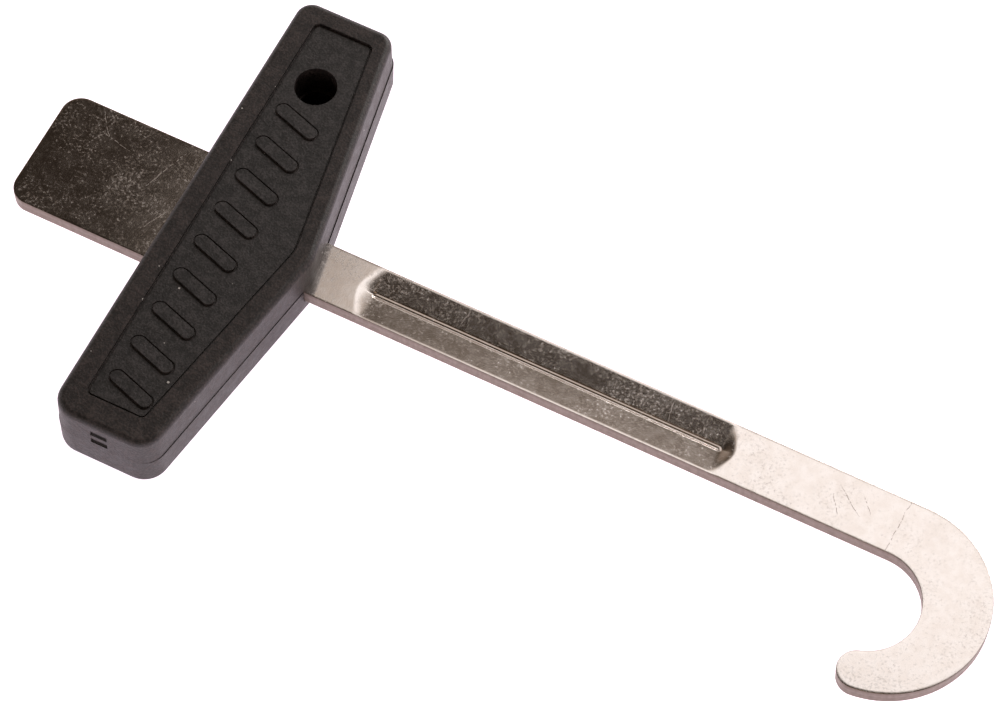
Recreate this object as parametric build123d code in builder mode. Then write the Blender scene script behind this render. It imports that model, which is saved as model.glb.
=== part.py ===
from build123d import *
import os
from math import atan2, cos, degrees, radians, sin, sqrt

# Hook tool with a moulded T handle, in millimetres.
# A flat steel strip lies between the two halves of a plastic handle. Behind the handle it is a wide
# pry blade, in front of it a long shank with a pressed stiffening groove and a flat hook.
#
# X runs along the strip towards the hook, Y along the handle towards its hanging hole, and Z out of
# the handle's panelled front. The origin is on the handle's back face, on the shank's centre line.

os.makedirs("parts", exist_ok=True)

# --- driving dimensions ------------------------------------------------------------------------

# Handle, seen from the front: a long bar, straight at the back, with a blunt nose at the shank
handle_height = 11.0
seam_height = 5.5
handle_back = 9.1
handle_nose = 12.9
nose_y = -1.6
nose_radius = 5.0
hole_end_y = 36.8
hole_end_x = 6.0
hole_end_radius = 2.7
tail_end_y = 38.9
tail_end_x = 6.9
tail_end_radius = 3.8
edge_radius = 1.0
draft_angle = 1.0
front_shrink = 0.12
front_slip = 0.12

# Walls of the two shells
wall = 2.0
floor_thickness = 2.0
roof_thickness = 2.0
rib_thickness = 1.4
cheek_width = 1.8

# Sunk panel on the front, with a border line that the back has too
panel_depth = 0.3
panel_back_rim = 3.7
panel_front_rim = 3.0
panel_hole_end_front_rim = 2.1
panel_tail_rim = 4.2
panel_hole_end_rim = 3.3
panel_corner = 1.0
panel_nose_radius = 4.0
border_width = 0.35
border_depth = 0.25

# Raised slanted bars, each in a narrow moat, between the panel's tail end and the hanging hole
bar_count = 9
bar_x = 0.0
bar_margin = 3.4
bar_length = 7.4
bar_width = 1.9
bar_slant = -18.0
bar_height = 0.25
moat_width = 0.3
moat_depth = 0.2

# Hanging hole, wider in the front shell than in the back one
hanging_hole_inset = 13.0
front_bore_radius = 3.1
back_bore_radius = 2.5
hole_boss_wall = 1.7

# Gate mark on the tail end
gate_width = 2.6
gate_bar = 1.1
gate_pitch = 1.9
gate_depth = 0.35

# Strip
strip_thickness = 2.5
blade_width = 19.4
blade_offset = 0.3
blade_reach = 32.8
blade_corner = 3.0
shoulder_x = 3.0
shoulder_corner = 1.2
shank_width = 8.7
sheared_edge = 0.2

# Hook
hook_centre_x = 104.7
hook_outer_radius = 14.75
hook_sweep = 174.0
hook_tip_radius = 2.9
throat_radius = 7.75

# Groove pressed along the shank, and the rib it raises on the back
groove_start_x = 21.5
groove_end_x = 74.8
groove_width = 1.0
groove_depth = 0.8
rib_width = 2.4
rib_height = 0.7

# Pegs moulded on the back shell, which pass into tubes in the front shell
peg_radius = 1.5
peg_rise = 2.6
peg_lead = 0.4
peg_tube_wall = 1.2
tang_peg_x = -3.4
tang_peg_spread = 12.0
hole_end_peg_inset = 5.2
tail_peg_inset = 7.0

# Clearances
seat_clearance = 0.1
peg_clearance = 0.05
strip_hole_clearance = 0.2
peg_end_clearance = 0.3

# --- values that follow ------------------------------------------------------------------------

strip_bottom = seam_height - strip_thickness
shank_half = shank_width / 2
blade_top = blade_offset + blade_width / 2
blade_low = blade_offset - blade_width / 2
panel_z = handle_height - panel_depth


def front_edge_x(y):
    """Where the handle's front edge lies at the height y."""
    if y > nose_y:
        share = (y - nose_y) / (hole_end_y - nose_y)
        return handle_nose + share * (hole_end_x - handle_nose)
    share = (nose_y - y) / (nose_y + tail_end_y)
    return handle_nose + share * (tail_end_x - handle_nose)


def middle_x(y):
    """The middle of the handle's width at the height y."""
    return (front_edge_x(y) - handle_back) / 2


hanging_hole_y = hole_end_y - hanging_hole_inset
hanging_hole = (middle_x(hanging_hole_y), hanging_hole_y)
tang_pegs = [(tang_peg_x, blade_offset + side * tang_peg_spread / 2) for side in (-1, 1)]

# One peg near each end, and one halfway from the tail's peg to the blade
hole_end_peg_y = hole_end_y - hole_end_peg_inset
tail_peg_y = tail_peg_inset - tail_end_y
middle_peg_y = (tail_peg_y + blade_low) / 2
end_pegs = [(middle_x(y), y) for y in (hole_end_peg_y, middle_peg_y, tail_peg_y)]

bar_first_y = panel_tail_rim - tail_end_y + bar_margin
bar_last_y = hanging_hole_y - front_bore_radius - bar_margin
bar_pitch = (bar_last_y - bar_first_y) / (bar_count - 1)
bar_places = [(bar_x, bar_first_y + i * bar_pitch) for i in range(bar_count)]

# The hook's tip circle touches the outer curve from inside and the throat from outside
tip_angle = 90 - hook_sweep
hook_centre = Vector(hook_centre_x, shank_half - hook_outer_radius)
tip_reach = hook_outer_radius - hook_tip_radius
tip_centre = hook_centre + Vector(cos(radians(tip_angle)), sin(radians(tip_angle))) * tip_reach
throat_y = -shank_half - throat_radius
throat_x = tip_centre.X - sqrt((throat_radius + hook_tip_radius) ** 2 - (throat_y - tip_centre.Y) ** 2)
throat_end_angle = degrees(atan2(tip_centre.Y - throat_y, tip_centre.X - throat_x))
throat_sweep = 90 - throat_end_angle
tip_sweep = 180 + throat_sweep - hook_sweep


# --- profiles that more than one piece uses ------------------------------------------------------


def handle_outline(inset):
    """The handle from the front, drawn in by inset all round."""
    with BuildSketch() as outline:
        with BuildLine():
            Polyline(
                (-handle_back, -tail_end_y),
                (tail_end_x, -tail_end_y),
                (handle_nose, nose_y),
                (hole_end_x, hole_end_y),
                (-handle_back, hole_end_y),
                close=True,
            )
        make_face()
        fillet(outline.vertices().group_by(Axis.Y)[0], tail_end_radius)
        fillet(outline.vertices().group_by(Axis.Y)[-1], hole_end_radius)
        fillet(outline.vertices().sort_by(Axis.X)[-1], nose_radius)
        if inset > 0:
            offset(amount=-inset)
    return outline.sketch


def panel_outline():
    """The sunk panel: it follows the handle's outline inside a rim."""
    with BuildSketch() as outline:
        with BuildLine():
            Polyline(
                (panel_back_rim - handle_back, panel_tail_rim - tail_end_y),
                (tail_end_x - panel_front_rim, panel_tail_rim - tail_end_y),
                (handle_nose - panel_front_rim, nose_y),
                (hole_end_x - panel_hole_end_front_rim, hole_end_y - panel_hole_end_rim),
                (panel_back_rim - handle_back, hole_end_y - panel_hole_end_rim),
                close=True,
            )
        make_face()
        fillet(outline.vertices().sort_by(Axis.X)[-1], panel_nose_radius)
        ends = outline.vertices().group_by(Axis.Y)
        fillet(ends[0] + ends[-1], panel_corner)
    return outline.sketch


def border_line():
    """The line just inside the panel's outline."""
    with BuildSketch() as line:
        add(panel_outline())
        offset(panel_outline(), amount=-border_width, mode=Mode.SUBTRACT)
    return line.sketch


def strip_outline(grow):
    """The blanked outline of the whole strip, grown by grow all round."""
    with BuildSketch() as outline:
        with BuildLine():
            blade_edge = Line((-blade_reach, blade_top), (shoulder_x, blade_top))
            shoulder = Line(blade_edge @ 1, (shoulder_x, shank_half))
            shank_edge = Line(shoulder @ 1, (hook_centre_x, shank_half))
            outer = JernArc(shank_edge @ 1, shank_edge % 1, hook_outer_radius, -hook_sweep)
            tip = JernArc(outer @ 1, outer % 1, hook_tip_radius, -tip_sweep)
            JernArc(tip @ 1, tip % 1, throat_radius, throat_sweep)
            Polyline(
                (throat_x, -shank_half),
                (shoulder_x, -shank_half),
                (shoulder_x, blade_low),
                (-blade_reach, blade_low),
                (-blade_reach, blade_top),
            )
        make_face()
        fillet(outline.vertices().group_by(Axis.X)[0], blade_corner)
        at_shoulder = outline.vertices().filter_by(lambda v: abs(v.X - shoulder_x) < shoulder_corner / 2)
        fillet(at_shoulder, shoulder_corner)
        if grow > 0:
            offset(amount=grow)
    return outline.sketch


# --- hook_strip: one piece of flat steel, blanked, grooved and plated -------------------------------

with BuildPart() as hook_strip:
    with BuildSketch(Plane.XY.offset(strip_bottom)):
        add(strip_outline(0))
    extrude(amount=strip_thickness)
    with BuildSketch(Plane.XY.offset(strip_bottom)):
        with Locations(*tang_pegs):
            Circle(peg_radius + strip_hole_clearance)
    extrude(amount=strip_thickness, mode=Mode.SUBTRACT)
    front_rim = hook_strip.faces().sort_by(Axis.Z)[-1].outer_wire().edges()
    fillet(front_rim, sheared_edge)
    groove_middle = ((groove_start_x + groove_end_x) / 2, 0)
    groove_run = groove_end_x - groove_start_x
    with BuildSketch(Plane.XY.offset(strip_bottom)):
        with Locations(groove_middle):
            SlotOverall(groove_run + rib_width - groove_width, rib_width)
    extrude(amount=-rib_height, taper=25)
    with BuildSketch(Plane.XY.offset(seam_height)):
        with Locations(groove_middle):
            SlotOverall(groove_run, groove_width)
    extrude(amount=-groove_depth, taper=20, mode=Mode.SUBTRACT)

hook_strip.part.label = "hook_strip"
export_step(hook_strip.part, "parts/hook_strip.step")

# --- handle_back_shell: floor, wall, seat for the strip, and the pegs ---------------------------------

with BuildPart() as handle_back_shell:
    with BuildSketch(Plane.XY.offset(seam_height)):
        add(handle_outline(0))
    extrude(amount=-seam_height, taper=draft_angle)
    fillet(handle_back_shell.faces().sort_by(Axis.Z)[0].edges(), edge_radius)

    # Hollow, apart from the block under and beside the strip, and the tube round the hanging hole
    with BuildSketch(Plane.XY.offset(floor_thickness)):
        add(handle_outline(wall))
        add(strip_outline(seat_clearance + cheek_width), mode=Mode.SUBTRACT)
        with Locations(hanging_hole):
            Circle(back_bore_radius + hole_boss_wall, mode=Mode.SUBTRACT)
        with Locations(*end_pegs):
            Circle(peg_radius + peg_tube_wall, mode=Mode.SUBTRACT)
    extrude(amount=handle_height, mode=Mode.SUBTRACT)

    # Seat, as deep as the strip is thick
    with BuildSketch(Plane.XY.offset(strip_bottom)):
        add(strip_outline(seat_clearance))
    extrude(amount=handle_height, mode=Mode.SUBTRACT)

    # Pegs: two stand in the strip's seat, the others on tubes at the seam
    with BuildSketch(Plane.XY.offset(strip_bottom)):
        with Locations(*tang_pegs):
            Circle(peg_radius)
    extrude(amount=strip_thickness + peg_rise)
    with BuildSketch(Plane.XY.offset(seam_height)):
        with Locations(*end_pegs):
            Circle(peg_radius)
    extrude(amount=peg_rise)
    peg_tops = handle_back_shell.faces().filter_by(Axis.Z).group_by(Axis.Z)[-1]
    chamfer(peg_tops.edges(), peg_lead)

    # Hanging hole, and the border line pressed into the back face
    with BuildSketch():
        with Locations(hanging_hole):
            Circle(back_bore_radius)
    extrude(amount=seam_height, mode=Mode.SUBTRACT)
    with BuildSketch():
        add(border_line())
    extrude(amount=border_depth, mode=Mode.SUBTRACT)

handle_back_shell.part.label = "handle_back_shell"
export_step(handle_back_shell.part, "parts/handle_back_shell.step")

# --- handle_front_shell: roof, wall, ribs over the strip, tubes for the pegs, panel and bars ----------

with BuildPart() as handle_front_shell:
    with BuildSketch(Plane.XY.offset(seam_height)):
        with Locations((0, -front_slip)):
            add(handle_outline(front_shrink))
    extrude(amount=handle_height - seam_height, taper=draft_angle)
    fillet(handle_front_shell.faces().sort_by(Axis.Z)[-1].edges(), edge_radius)

    # Hollow, apart from three ribs that hold the strip down, and the tubes
    with BuildSketch(Plane.XY.offset(seam_height)):
        add(handle_outline(wall))
        with Locations((0, blade_offset), *[(0, y) for x, y in tang_pegs]):
            Rectangle(2 * handle_nose, rib_thickness, mode=Mode.SUBTRACT)
        with Locations(hanging_hole):
            Circle(front_bore_radius + hole_boss_wall, mode=Mode.SUBTRACT)
        with Locations(*tang_pegs, *end_pegs):
            Circle(peg_radius + peg_tube_wall, mode=Mode.SUBTRACT)
    extrude(amount=handle_height - seam_height - roof_thickness, mode=Mode.SUBTRACT)

    # Bores for the pegs and the hanging hole
    with BuildSketch(Plane.XY.offset(seam_height)):
        with Locations(*tang_pegs, *end_pegs):
            Circle(peg_radius + peg_clearance)
    extrude(amount=peg_rise + peg_end_clearance, mode=Mode.SUBTRACT)
    with BuildSketch(Plane.XY.offset(seam_height)):
        with Locations(hanging_hole):
            Circle(front_bore_radius)
    extrude(amount=handle_height - seam_height, mode=Mode.SUBTRACT)

    # Sunk panel with its border line, and its slanted bars in their moats
    with BuildSketch(Plane.XY.offset(panel_z)):
        add(panel_outline())
    extrude(amount=panel_depth, mode=Mode.SUBTRACT)
    with BuildSketch(Plane.XY.offset(panel_z)):
        add(border_line())
    extrude(amount=-border_depth, mode=Mode.SUBTRACT)
    with BuildSketch(Plane.XY.offset(panel_z - moat_depth)):
        with Locations(*bar_places):
            SlotOverall(bar_length + 2 * moat_width, bar_width + 2 * moat_width, rotation=bar_slant)
    extrude(amount=moat_depth, mode=Mode.SUBTRACT)
    with BuildSketch(Plane.XY.offset(panel_z - moat_depth)):
        with Locations(*bar_places):
            SlotOverall(bar_length, bar_width, rotation=bar_slant)
    extrude(amount=moat_depth + bar_height)

    # Gate mark: two short bars nicked into the tail end
    with BuildSketch(Plane.XZ.offset(tail_end_y)):
        with Locations(*[(middle_x(-tail_end_y), seam_height + gate_pitch * n) for n in (0.6, 1.6)]):
            Rectangle(gate_width, gate_bar)
    extrude(amount=-gate_depth, mode=Mode.SUBTRACT)

handle_front_shell.part.label = "handle_front_shell"
export_step(handle_front_shell.part, "parts/handle_front_shell.step")
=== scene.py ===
from math import atan2, ceil, cos, degrees, pi, radians, sin, sqrt

import bmesh
import bpy
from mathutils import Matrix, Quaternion, Vector, noise
from mathutils.geometry import delaunay_2d_cdt


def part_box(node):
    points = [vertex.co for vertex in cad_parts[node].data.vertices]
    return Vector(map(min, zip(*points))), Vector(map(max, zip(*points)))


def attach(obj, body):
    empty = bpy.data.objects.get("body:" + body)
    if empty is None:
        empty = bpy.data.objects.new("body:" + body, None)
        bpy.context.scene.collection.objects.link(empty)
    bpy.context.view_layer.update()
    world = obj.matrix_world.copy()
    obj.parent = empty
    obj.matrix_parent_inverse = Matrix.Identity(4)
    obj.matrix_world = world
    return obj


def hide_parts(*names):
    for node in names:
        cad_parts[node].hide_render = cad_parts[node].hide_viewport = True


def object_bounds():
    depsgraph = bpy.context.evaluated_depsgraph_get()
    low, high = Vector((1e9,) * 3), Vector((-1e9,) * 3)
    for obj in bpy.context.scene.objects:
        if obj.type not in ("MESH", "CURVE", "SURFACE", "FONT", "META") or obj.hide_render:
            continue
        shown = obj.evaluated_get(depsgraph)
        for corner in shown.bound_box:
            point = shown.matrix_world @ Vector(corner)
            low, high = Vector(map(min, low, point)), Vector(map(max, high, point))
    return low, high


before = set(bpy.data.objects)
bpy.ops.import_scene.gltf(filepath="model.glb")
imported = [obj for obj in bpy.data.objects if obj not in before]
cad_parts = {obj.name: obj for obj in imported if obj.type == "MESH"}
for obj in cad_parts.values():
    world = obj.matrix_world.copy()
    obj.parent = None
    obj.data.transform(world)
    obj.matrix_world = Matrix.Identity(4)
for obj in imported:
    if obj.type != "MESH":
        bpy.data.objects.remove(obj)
cad_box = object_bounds()

# --- Handle shells ---------------------------------------------------------------------------------
# Two halves moulded in black nylon and glued along the seam, with the steel strip shut between them.
# The mould is lightly spark-eroded, which leaves a fine matte grain, and no step in it is knife sharp.

MM = 0.001
handle_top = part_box("handle_front_shell")[1].z
panel_level = handle_top - 0.3 * MM
bar_level = panel_level + 0.25 * MM
step_rounding = 0.06 * MM
step_angle = radians(50)
hard_angle = radians(48)
flat_angle = radians(0.3)
weld_distance = 0.002 * MM
level_slack = 0.02 * MM
dust_colour = (0.55, 0.52, 0.5)


def tree_socket(tree, name, kind, way="INPUT", value=None):
    """A named socket on a node group, with its usual value."""
    socket = tree.interface.new_socket(name, in_out=way, socket_type=kind)
    if value is not None:
        socket.default_value = value


def add_node(tree, kind, settings=None, **inputs):
    """A node with its settings, its plain values set and its links made; a name's _ stands for a space."""
    node = tree.nodes.new(kind)
    for name, value in (settings or {}).items():
        setattr(node, name, value)
    for name, value in inputs.items():
        socket = node.inputs[int(name[1:])] if name[1:].isdigit() else node.inputs[name.replace("_", " ")]
        if isinstance(value, bpy.types.NodeSocket):
            tree.links.new(value, socket)
        else:
            socket.default_value = value
    return node


def arithmetic(tree, operation, *values):
    """One sum on numbers or sockets."""
    inputs = {f"i{i}": value for i, value in enumerate(values)}
    return add_node(tree, "ShaderNodeMath", {"operation": operation}, **inputs).outputs[0]


def colour_between(tree, share, low, high):
    """A colour from low, at a share of 0, to high, at 1; each is red, green and blue, or a socket."""
    low, high = [(*colour, 1) if isinstance(colour, tuple) else colour for colour in (low, high)]
    return add_node(tree, "ShaderNodeMix", {"data_type": "RGBA"}, i0=share, i6=low, i7=high).outputs[2]


def place_group(tree, group, **inputs):
    """A shader node group put to use in a material, with its own values."""
    return add_node(tree, "ShaderNodeGroup", {"node_tree": group}, **inputs)


def new_group(name):
    """An empty shader node group with its two ends."""
    group = bpy.data.node_groups.new(name, "ShaderNodeTree")
    return group, group.nodes.new("NodeGroupInput"), group.nodes.new("NodeGroupOutput")


def make_grain_group():
    """Surface grain of two sizes: a height for bump, and a slow tone between 0 and 1."""
    group, start, end = new_group("surface_grain")
    tree_socket(group, "Vector", "NodeSocketVector")
    tree_socket(group, "Grain Size", "NodeSocketFloat", value=0.2 * MM)
    tree_socket(group, "Mottle Size", "NodeSocketFloat", value=2 * MM)
    tree_socket(group, "Coarse Share", "NodeSocketFloat", value=0.3)
    tree_socket(group, "Height", "NodeSocketFloat", "OUTPUT")
    tree_socket(group, "Tone", "NodeSocketFloat", "OUTPUT")
    vector = start.outputs["Vector"]
    fine_scale = arithmetic(group, "DIVIDE", 1.0, start.outputs["Grain Size"])
    slow_scale = arithmetic(group, "DIVIDE", 1.0, start.outputs["Mottle Size"])
    fine = add_node(group, "ShaderNodeTexNoise", Vector=vector, Scale=fine_scale, Detail=2.0, Roughness=0.6)
    slow = add_node(group, "ShaderNodeTexNoise", Vector=vector, Scale=slow_scale, Detail=3.0, Roughness=0.55)
    coarse = arithmetic(group, "MULTIPLY", slow.outputs[0], start.outputs["Coarse Share"])
    group.links.new(arithmetic(group, "ADD", fine.outputs[0], coarse), end.inputs["Height"])
    tone = add_node(group, "ShaderNodeMapRange", Value=slow.outputs[0], From_Min=0.35, From_Max=0.65)
    group.links.new(tone.outputs[0], end.inputs["Tone"])
    return group


def make_speck_group():
    """Scattered specks of dust: a mask that is 1 on a speck."""
    group, start, end = new_group("scattered_specks")
    tree_socket(group, "Vector", "NodeSocketVector")
    tree_socket(group, "Spacing", "NodeSocketFloat", value=3 * MM)
    tree_socket(group, "Speck Size", "NodeSocketFloat", value=0.05)
    tree_socket(group, "Share", "NodeSocketFloat", value=0.3)
    tree_socket(group, "Mask", "NodeSocketFloat", "OUTPUT")
    scale = arithmetic(group, "DIVIDE", 1.0, start.outputs["Spacing"])
    cells = add_node(group, "ShaderNodeTexVoronoi", Vector=start.outputs["Vector"], Scale=scale)
    chance = add_node(group, "ShaderNodeSeparateColor", Color=cells.outputs["Color"])
    size = arithmetic(group, "MULTIPLY", start.outputs["Speck Size"], chance.outputs[1])
    near = arithmetic(group, "LESS_THAN", cells.outputs["Distance"], size)
    chosen = arithmetic(group, "LESS_THAN", chance.outputs[0], start.outputs["Share"])
    group.links.new(arithmetic(group, "MULTIPLY", near, chosen), end.inputs["Mask"])
    return group


surface_grain = make_grain_group()
scattered_specks = make_speck_group()


def new_material(name):
    """A material with a Principled BSDF, and its object coordinates."""
    material = bpy.data.materials.new(name)
    material.use_nodes = True
    tree = material.node_tree
    surface = tree.nodes["Principled BSDF"]
    coordinates = tree.nodes.new("ShaderNodeTexCoord").outputs["Object"]
    return material, tree, surface, coordinates


def moulded_plastic(name, dark, light, roughness):
    """Black nylon with a fine grain, a faint mottle and a few specks of dust."""
    material, tree, surface, place = new_material(name)
    grain = place_group(
        tree, surface_grain, Vector=place, Grain_Size=0.3 * MM, Mottle_Size=1.3 * MM, Coarse_Share=0.6
    )
    dust = place_group(tree, scattered_specks, Vector=place, Spacing=2.0 * MM, Speck_Size=0.09, Share=0.35)
    crests = add_node(tree, "ShaderNodeMapRange", Value=grain.outputs["Height"], From_Min=0.70, From_Max=1.0)
    body = colour_between(tree, crests.outputs[0], dark, light)
    dusty = colour_between(tree, dust.outputs["Mask"], body, dust_colour)
    rough = add_node(
        tree, "ShaderNodeMapRange",
        Value=grain.outputs["Tone"], To_Min=roughness - 0.05, To_Max=roughness + 0.06,
    )
    bump = add_node(tree, "ShaderNodeBump", Strength=1.0, Distance=0.06 * MM, Height=grain.outputs["Height"])
    tree.links.new(dusty, surface.inputs["Base Color"])
    tree.links.new(rough.outputs[0], surface.inputs["Roughness"])
    tree.links.new(bump.outputs[0], surface.inputs["Normal"])
    surface.inputs["Specular IOR Level"].default_value = 0.5
    return material


def on_panel(face):
    """Whether a face is part of the sunk panel, or the top of a bar on it."""
    height = face.calc_center_median().z
    off_level = min(abs(height - level) for level in (panel_level, bar_level))
    return face.normal.z > 0.9 and off_level < level_slack


def moulded_shell(name, node, materials, steps_from, steps_to):
    """A moulded half: the CAD form, merged, with the steps between two levels rounded off."""
    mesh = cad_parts[node].data.copy()
    mesh.materials.clear()
    for material in materials:
        mesh.materials.append(material)
    form = bmesh.new()
    form.from_mesh(mesh)
    bmesh.ops.remove_doubles(form, verts=form.verts, dist=weld_distance)
    bmesh.ops.dissolve_limit(form, angle_limit=flat_angle, verts=form.verts, edges=form.edges)
    steps = [
        edge for edge in form.edges
        if edge.is_manifold
        and edge.calc_face_angle(0) > step_angle
        and all(steps_from < vert.co.z < steps_to for vert in edge.verts)
    ]
    bmesh.ops.bevel(
        form, geom=steps, offset=step_rounding, offset_type="OFFSET",
        segments=2, profile=0.5, affect="EDGES", clamp_overlap=True,
    )
    for face in form.faces:
        face.smooth = True
        face.material_index = int(on_panel(face) and len(materials) > 1)
    form.to_mesh(mesh)
    form.free()
    mesh.set_sharp_from_angle(angle=hard_angle)
    shell = bpy.data.objects.new(name, mesh)
    bpy.context.scene.collection.objects.link(shell)
    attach(shell, "root")
    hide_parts(node)
    return shell


rim_plastic = moulded_plastic("handle_plastic", (0.010, 0.007, 0.007), (0.044, 0.031, 0.029), 0.5)
panel_plastic = moulded_plastic("handle_panel_plastic", (0.010, 0.009, 0.009), (0.045, 0.039, 0.040), 0.5)

# The front half has its steps on the panel, the back half its border line just over the table
front_shell = moulded_shell(
    "handle_front", "handle_front_shell", [rim_plastic, panel_plastic],
    panel_level - 0.35 * MM, handle_top + MM,
)
flats = front_shell.modifiers.new("flats_stay_flat", "WEIGHTED_NORMAL")
flats.keep_sharp = True
moulded_shell("handle_back", "handle_back_shell", [rim_plastic], -MM, 0.5 * MM)

# --- Hook strip ------------------------------------------------------------------------------------
# One piece of flat steel, blanked in a press: a wide pry blade, a shank and a flat hook, nickel plated.
# A second stroke presses a shallow valley and a narrow groove into the shank, which raise a rib behind.

strip_low, strip_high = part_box("hook_strip")
strip_thickness = 2.5 * MM
shank_half = 4.35 * MM
blade_top = strip_high.y
blade_width = 19.4 * MM
blade_corner = 3.0 * MM
shoulder_x = 3.0 * MM
shoulder_corner = 1.2 * MM
hook_radius = 14.75 * MM
hook_sweep = 174
hook_tip_radius = 2.9 * MM
throat_radius = 7.75 * MM
peg_hole_radius = 1.7 * MM
peg_hole_x = -3.4 * MM
peg_hole_spread = 12.0 * MM
outline_step = 0.5 * MM
turn_density = 1.6
fewest_turn_steps = 6
hole_steps = 48
strip_hard_angle = radians(50)
face_margin = 0.45 * MM

hook_centre = Vector((strip_high.x - hook_radius, shank_half - hook_radius))
blade_low = blade_top - blade_width
blade_middle = (blade_top + blade_low) / 2


class OutlinePen:
    """Draws an outline clockwise from runs and arcs, and keeps the outward direction at each point."""

    def __init__(self, start):
        self.place = Vector(start)
        self.heading = 0.0
        self.points = []

    def mark(self):
        outward = Vector((-sin(self.heading), cos(self.heading)))
        self.points.append((self.place.copy(), outward))

    def run(self, length):
        count = ceil(length / outline_step)
        for _ in range(count):
            self.mark()
            self.place += Vector((cos(self.heading), sin(self.heading))) * length / count

    def turn(self, radius, sweep):
        """A turn to the left for a positive sweep in degrees, to the right for a negative one."""
        side = 1 if sweep > 0 else -1
        count = max(fewest_turn_steps, ceil(radians(abs(sweep)) * radius / outline_step * turn_density))
        for _ in range(count):
            self.mark()
            centre = self.place + side * radius * Vector((-sin(self.heading), cos(self.heading)))
            self.heading += radians(sweep) / count
            self.place = centre - side * radius * Vector((-sin(self.heading), cos(self.heading)))


# The hook's tip circle touches the outer curve from inside and the throat from outside
tip_angle = radians(90 - hook_sweep)
tip_centre = hook_centre + (hook_radius - hook_tip_radius) * Vector((cos(tip_angle), sin(tip_angle)))
throat_y = -shank_half - throat_radius
throat_x = tip_centre.x - sqrt((throat_radius + hook_tip_radius) ** 2 - (throat_y - tip_centre.y) ** 2)
throat_sweep = 90 - degrees(atan2(tip_centre.y - throat_y, tip_centre.x - throat_x))

pen = OutlinePen((strip_low.x + blade_corner, blade_top))
pen.run(shoulder_x - shoulder_corner - strip_low.x - blade_corner)
pen.turn(shoulder_corner, -90)
pen.run(blade_top - shank_half - 2 * shoulder_corner)
pen.turn(shoulder_corner, 90)
pen.run(hook_centre.x - shoulder_x - shoulder_corner)
pen.turn(hook_radius, -hook_sweep)
pen.turn(hook_tip_radius, hook_sweep - 180 - throat_sweep)
pen.turn(throat_radius, throat_sweep)
pen.run(throat_x - shoulder_x - shoulder_corner)
pen.turn(shoulder_corner, 90)
pen.run(-shank_half - blade_low - 2 * shoulder_corner)
pen.turn(shoulder_corner, -90)
pen.run(shoulder_x - shoulder_corner - strip_low.x - blade_corner)
pen.turn(blade_corner, -90)
pen.run(blade_width - 2 * blade_corner)
pen.turn(blade_corner, -90)
strip_outline = pen.points

strip_front = strip_high.z
strip_back = strip_front - strip_thickness

# The edge from the front face to the back one: how far in, how far down, and how rough.
# The blanking tool rolls the front edge over, shears a smooth band, and tears the rest.
edge_rings = [
    (face_margin, 0.0, 0.0),
    (0.08 * MM, 0.0, 0.0),
    (0.035 * MM, 0.008 * MM, 0.0),
    (0.012 * MM, 0.03 * MM, 0.0),
    (0.0, 0.07 * MM, 0.1),
    (0.0, 0.5 * MM, 0.1),
    (0.0, 0.85 * MM, 0.15),
    (0.015 * MM, 0.95 * MM, 0.7),
    (0.03 * MM, 1.15 * MM, 1.0),
    (0.035 * MM, 1.4 * MM, 1.0),
    (0.04 * MM, 1.65 * MM, 1.0),
    (0.045 * MM, 1.9 * MM, 1.0),
    (0.05 * MM, 2.15 * MM, 0.9),
    (0.06 * MM, 2.38 * MM, 0.6),
    (0.09 * MM, 2.46 * MM, 0.2),
    (0.14 * MM, strip_thickness, 0.0),
    (face_margin, strip_thickness, 0.0),
]
tear_depth = 0.05 * MM
tear_size = 0.35 * MM
tear_softness = 0.8
tear_detail_step = 2.0
tear_details = 3
edge_steepness = 0.95


def edge_point(point, outward, inset, drop, rough):
    """A point of the sheared edge, set in a little where the steel tore."""
    place = Vector((*point, strip_front - drop))
    torn = noise.fractal(place / tear_size, tear_softness, tear_detail_step, tear_details)
    inset += rough * tear_depth * (0.5 + 0.5 * max(-1, min(1, torn * 2)))
    return place - Vector((*outward, 0)) * inset


def hole_ring(centre, radius):
    """The points round a peg hole."""
    angles = [2 * pi * i / hole_steps for i in range(hole_steps)]
    return [centre + radius * Vector((cos(angle), sin(angle))) for angle in angles]


def fill_flat(ring, extra, holes):
    """Triangles over a ring with loose points inside and the holes' rims as edges."""
    points = [point.xy for point in ring]
    edges = [(i, (i + 1) % len(ring)) for i in range(len(ring))]
    for hole in holes:
        first = len(points)
        points += hole
        edges += [(first + i, first + (i + 1) % len(hole)) for i in range(len(hole))]
    points += extra
    only_inside, same_place = 1, 1e-9
    found, _, faces, sources, _, _ = delaunay_2d_cdt(
        points, edges, [list(range(len(ring)))], only_inside, same_place
    )
    return found, faces, sources


peg_holes = [Vector((peg_hole_x, blade_middle + side * peg_hole_spread / 2)) for side in (-1, 1)]
hole_rings = [hole_ring(centre, peg_hole_radius) for centre in peg_holes]

groove_start = 21.5 * MM
groove_end = 74.8 * MM
groove_width = 1.0 * MM

# Where the press needs points: rows off the groove's line, in mm, and columns that are close at its ends
press_rows = [
    0, 0.12, 0.22, 0.3, 0.38, 0.46, 0.54, 0.6, 0.66, 0.72,
    0.78, 0.86, 0.96, 1.1, 1.3, 1.6, 2.2, 3.0, 3.6,
]
press_reach = 4 * MM
end_columns = 32
middle_columns = 85
middle_start = groove_start + 1.5 * MM
press_columns = [groove_start - press_reach + i * 0.16 * MM for i in range(end_columns)]
press_columns += [groove_start + groove_end - column for column in press_columns]
press_columns += [middle_start + i * 0.6 * MM for i in range(middle_columns)]
press_points = [
    Vector((column, side * row * MM))
    for column in press_columns
    for row in press_rows
    for side in ((1, -1) if row else (1,))
]


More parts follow.
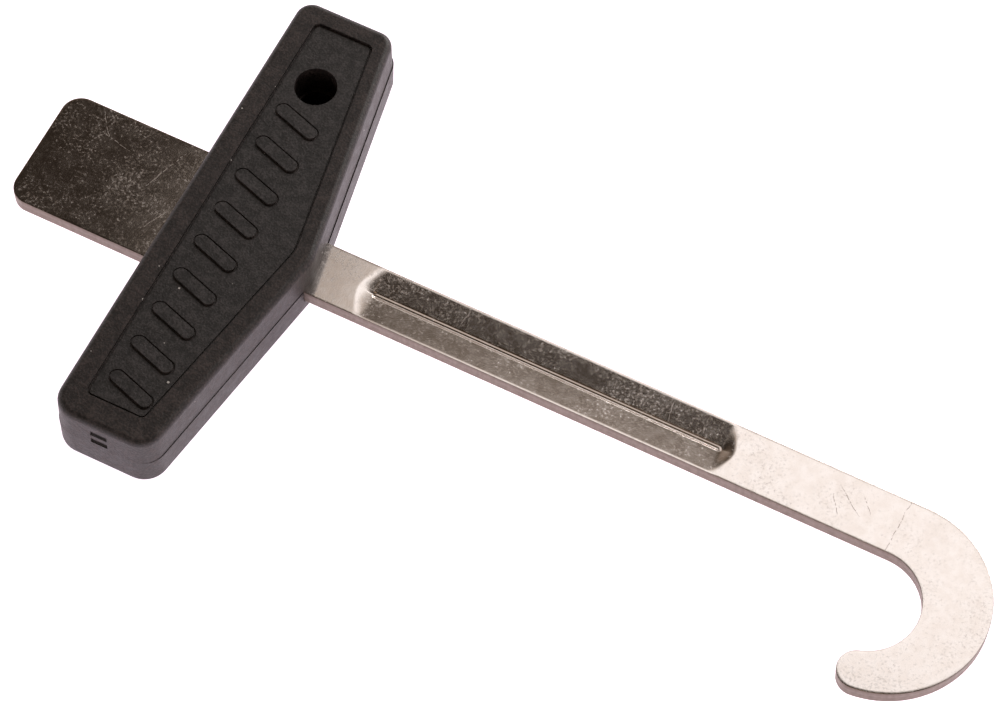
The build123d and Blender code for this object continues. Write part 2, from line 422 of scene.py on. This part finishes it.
def build_strip_blank():
    """The flat blank, with a flag on the faces of its sheared edge."""
    form = bmesh.new()
    rings = [
        [form.verts.new(edge_point(point, outward, *ring)) for point, outward in strip_outline]
        for ring in edge_rings
    ]
    count = len(strip_outline)
    sheared = []
    for upper, lower in zip(rings, rings[1:]):
        for i in range(count):
            j = (i + 1) % count
            sheared.append(form.faces.new((upper[i], upper[j], lower[j], lower[i])))
    hole_rims = []
    for ring, level, looks_up in ((rings[0], strip_front, True), (rings[-1], strip_back, False)):
        hole_rims.append([[form.verts.new((*point, level)) for point in hole] for hole in hole_rings])
        known = sum(hole_rims[-1], ring)
        found, faces, sources = fill_flat([vert.co for vert in ring], press_points, hole_rings)
        verts = [
            known[source[0]] if source and source[0] < len(known) else form.verts.new((*point, level))
            for point, source in zip(found, sources)
        ]
        for face in faces:
            corners = [verts[i] for i in face]
            if any(all(corner in hole for corner in corners) for hole in hole_rims[-1]):
                continue
            form.faces.new(corners if looks_up else corners[::-1])
    for front_rim, back_rim in zip(*hole_rims):
        for i in range(hole_steps):
            j = (i + 1) % hole_steps
            sheared.append(form.faces.new((front_rim[j], front_rim[i], back_rim[i], back_rim[j])))
    bmesh.ops.recalc_face_normals(form, faces=form.faces)
    form.faces.ensure_lookup_table()
    form.faces.index_update()
    flags = {face.index for face in sheared if abs(face.normal.z) < edge_steepness}
    mesh = bpy.data.meshes.new("strip_blank")
    form.to_mesh(mesh)
    form.free()
    flag = mesh.attributes.new("sheared", "BOOLEAN", "FACE")
    flag.data.foreach_set("value", [i in flags for i in range(len(mesh.polygons))])
    mesh.shade_smooth()
    return mesh


# The press stroke, as sizes: how deep each part goes, and over what length the valley fades out
press_sizes = {
    "Start": groove_start,
    "End": groove_end,
    "Half Width": shank_half,
    "Valley Depth": 0.5 * MM,
    "Valley Fade": 2.8 * MM,
    "Groove Width": groove_width,
    "Groove Depth": 0.24 * MM,
    "Rib Width": 2.4 * MM,
    "Rib Height": 0.68 * MM,
    "Front Level": strip_front,
    "Thickness": strip_thickness,
}
groove_floor_share = 0.12
rib_foot_share = 0.75
rib_top_share = 0.15
smooth = {"interpolation_type": "SMOOTHSTEP"}


def make_press_tree(plated, sheared):
    """Presses a valley with a round-ended groove into the front and raises its rib on the back."""
    tree = bpy.data.node_groups.new("press_stroke", "GeometryNodeTree")
    tree_socket(tree, "Geometry", "NodeSocketGeometry")
    for name in press_sizes:
        tree_socket(tree, name, "NodeSocketFloat")
    tree_socket(tree, "Geometry", "NodeSocketGeometry", "OUTPUT")
    start, end = tree.nodes.new("NodeGroupInput"), tree.nodes.new("NodeGroupOutput")
    size = start.outputs

    def ramp(value, low, high):
        """0 at low, 1 at high, smooth between them."""
        return add_node(tree, "ShaderNodeMapRange", smooth, i0=value, i1=low, i2=high).outputs[0]

    def sums(operation, *values):
        return arithmetic(tree, operation, *values)

    place = add_node(tree, "ShaderNodeSeparateXYZ", i0=tree.nodes.new("GeometryNodeInputPosition").outputs[0])
    x, y, z = place.outputs
    before = sums("SUBTRACT", size["Start"], x)
    after = sums("SUBTRACT", x, size["End"])
    beyond = sums("MAXIMUM", sums("MAXIMUM", before, after), 0.0)
    off_line = sums("ABSOLUTE", y)
    away = sums("SQRT", sums("ADD", sums("MULTIPLY", beyond, beyond), sums("MULTIPLY", y, y)))
    half_groove = sums("MULTIPLY", size["Groove Width"], 0.5)
    groove = ramp(away, half_groove, sums("MULTIPLY", size["Groove Width"], groove_floor_share))
    slope = sums("MAXIMUM", sums("SUBTRACT", 1.0, sums("DIVIDE", off_line, size["Half Width"])), 0.0)
    across = sums("DIVIDE", y, size["Half Width"])
    rounded = sums("MULTIPLY", beyond, sums("ADD", 1.0, sums("MULTIPLY", across, across)))
    valley = sums("MULTIPLY", slope, ramp(rounded, size["Valley Fade"], 0.0))
    rib_foot = sums("MULTIPLY", size["Rib Width"], rib_foot_share)
    rib_top = sums("MULTIPLY", size["Rib Width"], rib_top_share)
    rib = ramp(away, rib_foot, rib_top)

    valley_drop = sums("MULTIPLY", valley, size["Valley Depth"])
    groove_drop = sums("MULTIPLY", groove, size["Groove Depth"])
    front_drop = sums("ADD", valley_drop, groove_drop)
    back_drop = sums("MULTIPLY", rib, size["Rib Height"])
    depth = sums("SUBTRACT", size["Front Level"], z)
    up = sums("SUBTRACT", 1.0, sums("DIVIDE", depth, size["Thickness"]))
    down = sums("SUBTRACT", 1.0, up)
    on_shank = sums("GREATER_THAN", size["Half Width"], off_line)
    drop = sums("ADD", sums("MULTIPLY", front_drop, up), sums("MULTIPLY", back_drop, down))
    drop = sums("MULTIPLY", sums("MULTIPLY", drop, on_shank), -1.0)
    move = add_node(tree, "ShaderNodeCombineXYZ", Z=drop)
    pressed = add_node(tree, "GeometryNodeSetPosition", Geometry=size["Geometry"], Offset=move.outputs[0])
    whole = add_node(tree, "GeometryNodeRealizeInstances", Geometry=pressed.outputs[0])
    flag = add_node(tree, "GeometryNodeInputNamedAttribute", {"data_type": "BOOLEAN"}, Name="sheared")
    faces = add_node(tree, "GeometryNodeSetMaterial", Geometry=whole.outputs[0], Material=plated)
    edges = add_node(
        tree, "GeometryNodeSetMaterial",
        Geometry=faces.outputs[0], Selection=flag.outputs[0], Material=sheared,
    )
    tree.links.new(edges.outputs[0], end.inputs[0])
    return tree


scratch_waver_scale = 0.35 / MM
scratch_waver_reach = 0.8 * MM
scratch_break_scale = 2.2 / MM


def make_scratch_group():
    """One scratch: a thin line of a given place, turn and length that wavers and fades at its ends."""
    group, start, end = new_group("scratch_line")
    tree_socket(group, "Vector", "NodeSocketVector")
    tree_socket(group, "Place", "NodeSocketVector")
    tree_socket(group, "Turn", "NodeSocketFloat", value=0.0)
    tree_socket(group, "Length", "NodeSocketFloat", value=5 * MM)
    tree_socket(group, "Width", "NodeSocketFloat", value=0.06 * MM)
    tree_socket(group, "Mask", "NodeSocketFloat", "OUTPUT")
    vector = start.outputs["Vector"]
    moved = add_node(
        group, "ShaderNodeVectorMath", {"operation": "SUBTRACT"}, i0=vector, i1=start.outputs["Place"]
    )
    turned = add_node(
        group, "ShaderNodeVectorRotate", {"rotation_type": "Z_AXIS", "invert": True},
        Vector=moved.outputs[0], Angle=start.outputs["Turn"],
    )
    waver = add_node(group, "ShaderNodeTexNoise", Vector=vector, Scale=scratch_waver_scale, Detail=2.0)
    sway = arithmetic(group, "SUBTRACT", waver.outputs[0], 0.5)
    shift = arithmetic(group, "MULTIPLY", sway, scratch_waver_reach)
    x, y = add_node(group, "ShaderNodeSeparateXYZ", i0=turned.outputs[0]).outputs[:2]
    across = arithmetic(group, "ABSOLUTE", arithmetic(group, "ADD", y, shift))
    along = arithmetic(group, "DIVIDE", arithmetic(group, "ABSOLUTE", x), start.outputs["Length"])
    fade = add_node(group, "ShaderNodeMapRange", Value=along, From_Min=0.5, From_Max=0.3)
    width = arithmetic(group, "MULTIPLY", start.outputs["Width"], fade.outputs[0])
    line = add_node(group, "ShaderNodeMapRange", Value=across, From_Min=width, From_Max=0.0)
    broken = add_node(group, "ShaderNodeTexNoise", Vector=vector, Scale=scratch_break_scale, Detail=1.0)
    kept = add_node(group, "ShaderNodeMapRange", Value=broken.outputs[0], From_Min=0.38, From_Max=0.5)
    group.links.new(arithmetic(group, "MULTIPLY", line.outputs[0], kept.outputs[0]), end.inputs["Mask"])
    return group


scratch_line = make_scratch_group()


def make_wear_group():
    """Small scuffs of no fixed shape that gather in patches: a mask that is 1 where the plate is dulled."""
    group, start, end = new_group("worn_patches")
    tree_socket(group, "Vector", "NodeSocketVector")
    tree_socket(group, "Scuff Size", "NodeSocketFloat", value=0.5 * MM)
    tree_socket(group, "Patch Size", "NodeSocketFloat", value=5 * MM)
    tree_socket(group, "Mask", "NodeSocketFloat", "OUTPUT")
    vector = start.outputs["Vector"]
    scuff_scale = arithmetic(group, "DIVIDE", 1.0, start.outputs["Scuff Size"])
    patch_scale = arithmetic(group, "DIVIDE", 1.0, start.outputs["Patch Size"])
    scuffs = add_node(
        group, "ShaderNodeTexNoise", Vector=vector, Scale=scuff_scale, Detail=4.0, Roughness=0.65
    )
    patches = add_node(
        group, "ShaderNodeTexNoise", Vector=vector, Scale=patch_scale, Detail=3.0, Roughness=0.6
    )
    gathered = arithmetic(group, "MULTIPLY", patches.outputs[0], 0.4)
    worn = arithmetic(group, "ADD", scuffs.outputs[0], gathered)
    mask = add_node(group, "ShaderNodeMapRange", Value=worn, From_Min=0.72, From_Max=0.94)
    group.links.new(mask.outputs[0], end.inputs["Mask"])
    return group


worn_patches = make_wear_group()

# Scratches picked up in use, in mm and degrees: x, y, turn, length, width
face_scratches = [
    (-14.5, 4.6, 70, 8.0, 0.09),
    (-25.5, 7.2, 128, 5.0, 0.07),
    (-23.5, 5.6, -12, 6.0, 0.07),
    (-12.0, -3.4, 62, 4.0, 0.06),
    (34.5, 2.6, 82, 3.5, 0.07),
    (58.0, 1.6, 100, 3.0, 0.06),
    (66.5, 2.2, 96, 3.6, 0.06),
    (94.5, 0.5, -38, 5.5, 0.1),
    (93.0, -1.0, -58, 4.0, 0.09),
    (97.0, 1.0, -50, 3.0, 0.1),
    (102.0, 0.2, 88, 12.0, 0.09),
]
scratch_darkening = 0.5
scratch_depth = 0.8
scuff_share = 0.5
mark_roughness = 0.33


def plated_steel():
    """Dull nickel over rolled steel: an uneven face, scuffed in patches, with fine scratches."""
    material, tree, surface, place = new_material("nickel_plate")
    grain = place_group(
        tree, surface_grain, Vector=place, Grain_Size=0.2 * MM, Mottle_Size=1.6 * MM, Coarse_Share=0.35
    )
    wear = place_group(tree, worn_patches, Vector=place, Scuff_Size=0.4 * MM, Patch_Size=7 * MM)
    scratched = None
    for x, y, turn, length, width in face_scratches:
        line = place_group(
            tree, scratch_line, Vector=place, Place=(x * MM, y * MM, strip_front),
            Turn=radians(turn), Length=length * MM, Width=width * MM,
        ).outputs["Mask"]
        scratched = line if scratched is None else arithmetic(tree, "MAXIMUM", scratched, line)
    plate = colour_between(tree, grain.outputs["Tone"], (0.76, 0.70, 0.66), (0.83, 0.78, 0.75))
    darkened = arithmetic(tree, "MULTIPLY", scratched, scratch_darkening)
    scored = colour_between(tree, darkened, plate, (0.42, 0.36, 0.33))
    rough = add_node(tree, "ShaderNodeMapRange", Value=grain.outputs["Tone"], To_Min=0.125, To_Max=0.155)
    scuffed = arithmetic(tree, "MULTIPLY", wear.outputs["Mask"], scuff_share)
    marks = arithmetic(tree, "MAXIMUM", scratched, scuffed)
    rougher = arithmetic(tree, "ADD", rough.outputs[0], arithmetic(tree, "MULTIPLY", marks, mark_roughness))
    sunk = arithmetic(tree, "MULTIPLY", scratched, scratch_depth)
    height = arithmetic(tree, "SUBTRACT", grain.outputs["Height"], sunk)
    bump = add_node(tree, "ShaderNodeBump", Strength=0.5, Distance=0.006 * MM, Height=height)
    tree.links.new(scored, surface.inputs["Base Color"])
    tree.links.new(rougher, surface.inputs["Roughness"])
    tree.links.new(bump.outputs[0], surface.inputs["Normal"])
    surface.inputs["Metallic"].default_value = 1.0
    return material


def sheared_steel():
    """The blanked edge: streaked where it was cut, dull and torn below, thinly plated and a little pink."""
    material, tree, surface, place = new_material("sheared_edge")
    flattened = add_node(tree, "ShaderNodeMapping", Vector=place, Scale=(1.0, 1.0, 0.3))
    streaks = place_group(
        tree, surface_grain,
        Vector=flattened.outputs[0], Grain_Size=0.2 * MM, Mottle_Size=0.45 * MM, Coarse_Share=0.5,
    )
    body = colour_between(tree, streaks.outputs["Tone"], (0.195, 0.157, 0.132), (0.24, 0.198, 0.172))
    bump = add_node(
        tree, "ShaderNodeBump", Strength=0.6, Distance=0.02 * MM, Height=streaks.outputs["Height"]
    )
    tree.links.new(body, surface.inputs["Base Color"])
    tree.links.new(bump.outputs[0], surface.inputs["Normal"])
    surface.inputs["Metallic"].default_value = 1.0
    surface.inputs["Roughness"].default_value = 0.5
    return material


strip_blank = bpy.data.objects.new("strip_blank", build_strip_blank())
bpy.context.scene.collection.objects.link(strip_blank)
press = strip_blank.modifiers.new("press", "NODES")
press.node_group = make_press_tree(plated_steel(), sheared_steel())
for item in press.node_group.interface.items_tree:
    if item.in_out == "INPUT" and item.name in press_sizes:
        press[item.identifier] = press_sizes[item.name]
pressed_strip = strip_blank.evaluated_get(bpy.context.evaluated_depsgraph_get())
hook_strip = bpy.data.objects.new("hook_strip_steel", bpy.data.meshes.new_from_object(pressed_strip))
bpy.data.objects.remove(strip_blank)
bpy.context.scene.collection.objects.link(hook_strip)
hook_strip.data.set_sharp_from_angle(angle=strip_hard_angle)
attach(hook_strip, "root")
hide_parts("hook_strip")

# --- Table and studio ------------------------------------------------------------------------------
# Under the handle the table is painted near black and gives no light: a painted shadow.
# A white table lit from below, in a pale room that darkens towards a small skylight overhead.
# One soft panel hangs above and another stands behind; where the upper one's left edge is mirrored,
# the plate turns from bright to dark.

table_half = 3.0
table_gap = 0.02 * MM
table_glow = 1.2
# How far the painted shadow narrows towards the handle's ends, as a share of its half width
painted_shadow_taper = 0.54
upper_panel_power = 1.27
handle_low, handle_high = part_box("handle_back_shell")


def make_table():
    """A plain white table, seen from above only, with a painted shadow: dark and giving no light where the
    handle covers it.
    """
    mesh = bpy.data.meshes.new("table")
    level = cad_box[0].z - table_gap
    corners = [(x * table_half, y * table_half, level) for x, y in ((-1, -1), (1, -1), (1, 1), (-1, 1))]
    mesh.from_pydata(corners, [], [(0, 1, 2, 3)])
    material, tree, surface, place = new_material("table_white_painted_shadow")
    surface.inputs["Roughness"].default_value = 0.9
    surface.inputs["Emission Strength"].default_value = table_glow
    spread = add_node(
        tree, "ShaderNodeMapping", {"vector_type": "TEXTURE"},
        Vector=place, Location=((handle_low.x + handle_high.x) / 2, (handle_low.y + handle_high.y) / 2, 0),
        Scale=((handle_high.x - handle_low.x) / 2, (handle_high.y - handle_low.y) / 2, 1.0),
    )
    x, y = add_node(tree, "ShaderNodeSeparateXYZ", i0=spread.outputs[0]).outputs[:2]
    end_wards = arithmetic(tree, "ABSOLUTE", y)
    nose_wards = arithmetic(tree, "ADD", x, arithmetic(tree, "MULTIPLY", end_wards, painted_shadow_taper))
    back_wards = arithmetic(tree, "MULTIPLY", x, -1.0)
    off_centre = arithmetic(tree, "MAXIMUM", arithmetic(tree, "MAXIMUM", end_wards, nose_wards), back_wards)
    # Painted shadow: 0 under the handle, where the table is painted near black and its glow is cut, 1 clear
    # of it
    outside_painted_shadow = add_node(
        tree, "ShaderNodeMapRange", smooth, Value=off_centre, From_Min=0.78, From_Max=0.97
    ).outputs[0]
    glow = colour_between(tree, outside_painted_shadow, (0.0, 0.0, 0.0), (1.0, 0.87, 0.98))
    paint_with_painted_shadow = colour_between(tree, outside_painted_shadow, (0.02, 0.02, 0.02), (0.8, 0.79, 0.79))
    tree.links.new(paint_with_painted_shadow, surface.inputs["Base Color"])
    tree.links.new(glow, surface.inputs["Emission Color"])
    clear = tree.nodes.new("ShaderNodeBsdfTransparent")
    below = tree.nodes.new("ShaderNodeNewGeometry").outputs["Backfacing"]
    sheet = add_node(tree, "ShaderNodeMixShader", i0=below, i1=surface.outputs[0], i2=clear.outputs[0])
    tree.links.new(sheet.outputs[0], tree.nodes["Material Output"].inputs[0])
    mesh.materials.append(material)
    table = bpy.data.objects.new("table", mesh)
    bpy.context.scene.collection.objects.link(table)


def make_room():
    """Light from all round that fades towards the ceiling, with a small skylight straight overhead."""
    world = bpy.data.worlds.new("room")
    world.use_nodes = True
    tree = world.node_tree
    direction = tree.nodes.new("ShaderNodeTexCoord").outputs["Generated"]
    height = add_node(tree, "ShaderNodeSeparateXYZ", i0=direction).outputs[2]
    fall = add_node(
        tree, "ShaderNodeMapRange", smooth,
        Value=height, From_Min=0.30, From_Max=0.84, To_Min=0.85, To_Max=0.02,
    )
    skylight = add_node(
        tree, "ShaderNodeMapRange", smooth,
        Value=height, From_Min=0.975, From_Max=0.995, To_Min=0.0, To_Max=0.55,
    )
    strength = arithmetic(tree, "ADD", fall.outputs[0], skylight.outputs[0])
    overhead = add_node(tree, "ShaderNodeMapRange", Value=height, From_Min=0.35, From_Max=0.78)
    tint = colour_between(tree, overhead.outputs[0], (1.0, 0.95, 0.92), (1.0, 0.70, 0.48))
    light = tree.nodes["Background"]
    tree.links.new(tint, light.inputs["Color"])
    tree.links.new(strength, light.inputs["Strength"])
    bpy.context.scene.world = world


def add_panel(name, place, aim, width, depth, radiance):
    """A rectangular soft light with an even brightness."""
    light = bpy.data.lights.new(name, "AREA")
    light.shape = "RECTANGLE"
    light.size = width
    light.size_y = depth
    light.energy = radiance * pi * width * depth
    light.color = (1.0, 0.965, 0.94)
    lamp = bpy.data.objects.new(name, light)
    lamp.location = place
    lamp.rotation_mode = "QUATERNION"
    lamp.rotation_quaternion = (Vector(aim) - Vector(place)).to_track_quat("-Z", "Y")
    bpy.context.scene.collection.objects.link(lamp)


def make_feathered_panel():
    """A soft panel overhead, bright in the middle and fading out towards its edges."""
    low, high = Vector((-0.15, 0.115, 0.40)), Vector((0.40, 0.355, 0.40))
    mesh = bpy.data.meshes.new("panel_above")
    corners = [(low.x, low.y), (low.x, high.y), (high.x, high.y), (high.x, low.y)]
    mesh.from_pydata([(x, y, low.z) for x, y in corners], [], [(0, 1, 2, 3)])
    material, tree, _, place = new_material("panel_light")
    x, y = add_node(tree, "ShaderNodeSeparateXYZ", i0=place).outputs[:2]
    edge_fades = ((x, low.x, -0.04), (x, high.x, 0.30), (y, low.y, 0.145), (y, high.y, 0.23))
    strength = 1.0
    for value, dark, bright in edge_fades:
        fade = add_node(tree, "ShaderNodeMapRange", smooth, Value=value, From_Min=dark, From_Max=bright)
        strength = arithmetic(tree, "MULTIPLY", fade.outputs[0], strength)
    warmth = colour_between(tree, strength, (1.0, 0.80, 0.64), (1.0, 0.955, 0.935))
    power = arithmetic(tree, "MULTIPLY", strength, upper_panel_power)
    light = add_node(tree, "ShaderNodeEmission", Color=warmth, Strength=power)
    tree.links.new(light.outputs[0], tree.nodes["Material Output"].inputs[0])
    mesh.materials.append(material)
    panel = bpy.data.objects.new("panel_above", mesh)
    panel.visible_camera = False
    panel.visible_shadow = False
    bpy.context.scene.collection.objects.link(panel)


make_table()
make_room()
make_feathered_panel()
add_panel(
    "panel_behind", place=(0.25, 0.95, 0.45), aim=(0.0, 0.0, 0.0), width=0.7, depth=0.4, radiance=7.0
)

# --- Camera ----------------------------------------------------------------------------------------
# A long lens from the hook's side of the handle, high above the table, turned a little about its axis.
# It stands far enough off to take in the whole tool, from the blade's corner to the hook's tip.

camera_azimuth = radians(25.38)
camera_elevation = radians(60.86)
camera_roll = radians(1.46)
camera_distance = 0.631
camera_target = Vector((0.0402, 0.0019, 0.0))
camera_lens = 161.3

camera_back = Vector((
    sin(camera_azimuth) * cos(camera_elevation),
    -cos(camera_azimuth) * cos(camera_elevation),
    sin(camera_elevation),
))
camera = bpy.data.objects.new("camera", bpy.data.cameras.new("camera"))
camera.data.lens = camera_lens
camera.data.sensor_width = 36
camera.data.clip_start = 0.01
camera.location = camera_target + camera_back * camera_distance
camera.rotation_mode = "QUATERNION"
camera.rotation_quaternion = (-camera_back).to_track_quat("-Z", "Y") @ Quaternion((0, 0, 1), camera_roll)
bpy.context.scene.collection.objects.link(camera)
bpy.context.scene.camera = camera
bpy.context.scene.view_settings.view_transform = "Standard"
